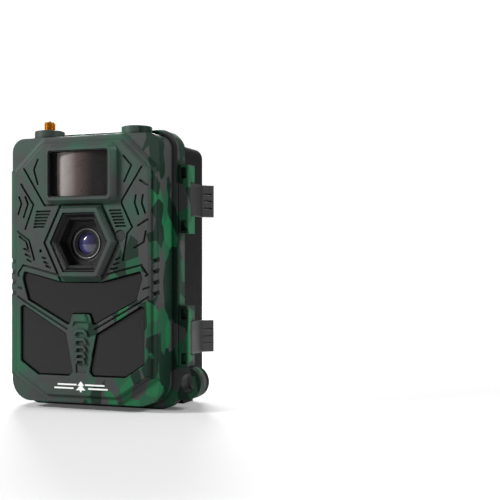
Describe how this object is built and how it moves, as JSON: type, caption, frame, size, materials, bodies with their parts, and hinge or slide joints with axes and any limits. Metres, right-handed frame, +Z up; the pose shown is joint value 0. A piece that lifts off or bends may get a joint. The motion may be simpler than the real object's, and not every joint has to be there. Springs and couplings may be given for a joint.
{
  "type": "trail camera",
  "caption": "Weatherproof camouflage trail camera in a hinged two-part box with latches, motion sensor, infrared lamps, tree brackets and an antenna socket.",
  "frame": {"origin": "centre of the tripod socket's mouth, on the plane that the case stands on", "axes": "+Z up; the lens looks along -Y; +X is the viewer's right when facing the lens"},
  "size_m": [0.1189, 0.0854, 0.1618],
  "materials": {
    "camo_shell": "satin moulded plastic with a camouflage print in greens and grey",
    "black_shell": "black satin moulded plastic",
    "lens_bezel": "black satin plastic",
    "lamp_window": "near-black plastic that passes infrared",
    "fresnel": "smoked translucent polyethylene",
    "lens_trim": "grey ring",
    "glass": "coated lens glass",
    "gold": "gold-plated brass",
    "insert": "brass",
    "steel": "steel",
    "rubber": "soft black rubber",
    "key_rubber": "grey silicone",
    "board": "green circuit board",
    "shield": "tinned shield",
    "inner_cover": "dark grey textured plastic",
    "screen": "dark display",
    "screen_window": "clear window",
    "lamps": "clear lamp domes",
    "sensor": "dark translucent cap",
    "cells": "plain wrapped cell",
    "contacts": "nickel-plated steel",
    "card": "plain memory card",
    "print": "white printed ink"
  },
  "bodies": {
    "rear_housing": {"rear_case": "black_shell", "seal": "rubber", "tree_bracket_left": "black_shell", "tree_bracket_right": "black_shell", "strap_loop_left": "black_shell", "strap_loop_right": "black_shell", "bracket_screws": "steel", "tripod_insert": "insert", "battery_tray": "inner_cover", "cells": "cells", "cell_contacts": "contacts", "cell_springs": "contacts", "hinge_pin_upper": "steel", "hinge_pin_lower": "steel", "power_socket": "shield"},
    "front_housing": {"front_shell": "camo_shell", "print_mark": "print", "motion_surround": "lens_bezel", "motion_lens": "fresnel", "motion_sensor": "shield", "lens_bezel": "lens_bezel", "lens_barrel": "lens_bezel", "lens_ring": "lens_trim", "lens_glass": "glass", "image_sensor": "board", "lamp_window_upper": "lamp_window", "lamp_window_left": "lamp_window", "lamp_window_right": "lamp_window", "lamp_board": "board", "lamps": "lamps", "light_sensor": "sensor", "microphone": "shield", "main_board": "board", "modem": "shield", "card_socket": "shield", "speaker": "lens_bezel", "antenna_socket": "gold", "inner_cover": "inner_cover", "cover_screws": "steel", "screen_window": "screen_window", "screen": "screen", "key_board": "board", "latch_pin_upper": "steel", "latch_pin_lower": "steel"},
    "latch_upper": {"latch_lever_upper": "black_shell"},
    "latch_lower": {"latch_lever_lower": "black_shell"},
    "card": {"memory_card": "card"},
    "switch": {"mode_switch": "black_shell"},
    "plug": {"power_plug": "rubber"},
    "key_ok_cap": {"key_ok": "key_rubber"},
    "key_up_cap": {"key_up": "key_rubber"},
    "key_down_cap": {"key_down": "key_rubber"},
    "key_left_cap": {"key_left": "key_rubber"},
    "key_right_cap": {"key_right": "key_rubber"}
  },
  "joints": [
    {"name": "door_hinge", "type": "hinge", "parent": "rear_housing", "child": "front_housing", "pos_m": [-0.0524, -0.0266, 0.0774], "axis": [0, 0, -1], "range_deg": [0, 110]},
    {"name": "latch_upper_hinge", "type": "hinge", "parent": "front_housing", "child": "latch_upper", "pos_m": [0.0529, -0.0234, 0.1161], "axis": [0, 0, -1], "range_deg": [0, 95]},
    {"name": "latch_lower_hinge", "type": "hinge", "parent": "front_housing", "child": "latch_lower", "pos_m": [0.0529, -0.0234, 0.0397], "axis": [0, 0, -1], "range_deg": [0, 95]},
    {"name": "switch_slide", "type": "slide", "parent": "front_housing", "child": "switch", "axis": [0, 0, -1], "range_m": [0, 0.0092]},
    {"name": "card_slide", "type": "slide", "parent": "front_housing", "child": "card", "axis": [0, 1, 0], "range_m": [0, 0.012]},
    {"name": "plug_slide", "type": "slide", "parent": "rear_housing", "child": "plug", "axis": [0, 0, -1], "range_m": [0, 0.0042]},
    {"name": "key_ok_press", "type": "slide", "parent": "front_housing", "child": "key_ok_cap", "axis": [0, -1, 0], "range_m": [0, 0.0008], "stiffness_N_per_m": 1500, "springref_m": -0.0006},
    {"name": "key_up_press", "type": "slide", "parent": "front_housing", "child": "key_up_cap", "axis": [0, -1, 0], "range_m": [0, 0.0008], "stiffness_N_per_m": 1500, "springref_m": -0.0006},
    {"name": "key_down_press", "type": "slide", "parent": "front_housing", "child": "key_down_cap", "axis": [0, -1, 0], "range_m": [0, 0.0008], "stiffness_N_per_m": 1500, "springref_m": -0.0006},
    {"name": "key_left_press", "type": "slide", "parent": "front_housing", "child": "key_left_cap", "axis": [0, -1, 0], "range_m": [0, 0.0008], "stiffness_N_per_m": 1500, "springref_m": -0.0006},
    {"name": "key_right_press", "type": "slide", "parent": "front_housing", "child": "key_right_cap", "axis": [0, -1, 0], "range_m": [0, 0.0008], "stiffness_N_per_m": 1500, "springref_m": -0.0006}
  ]
}
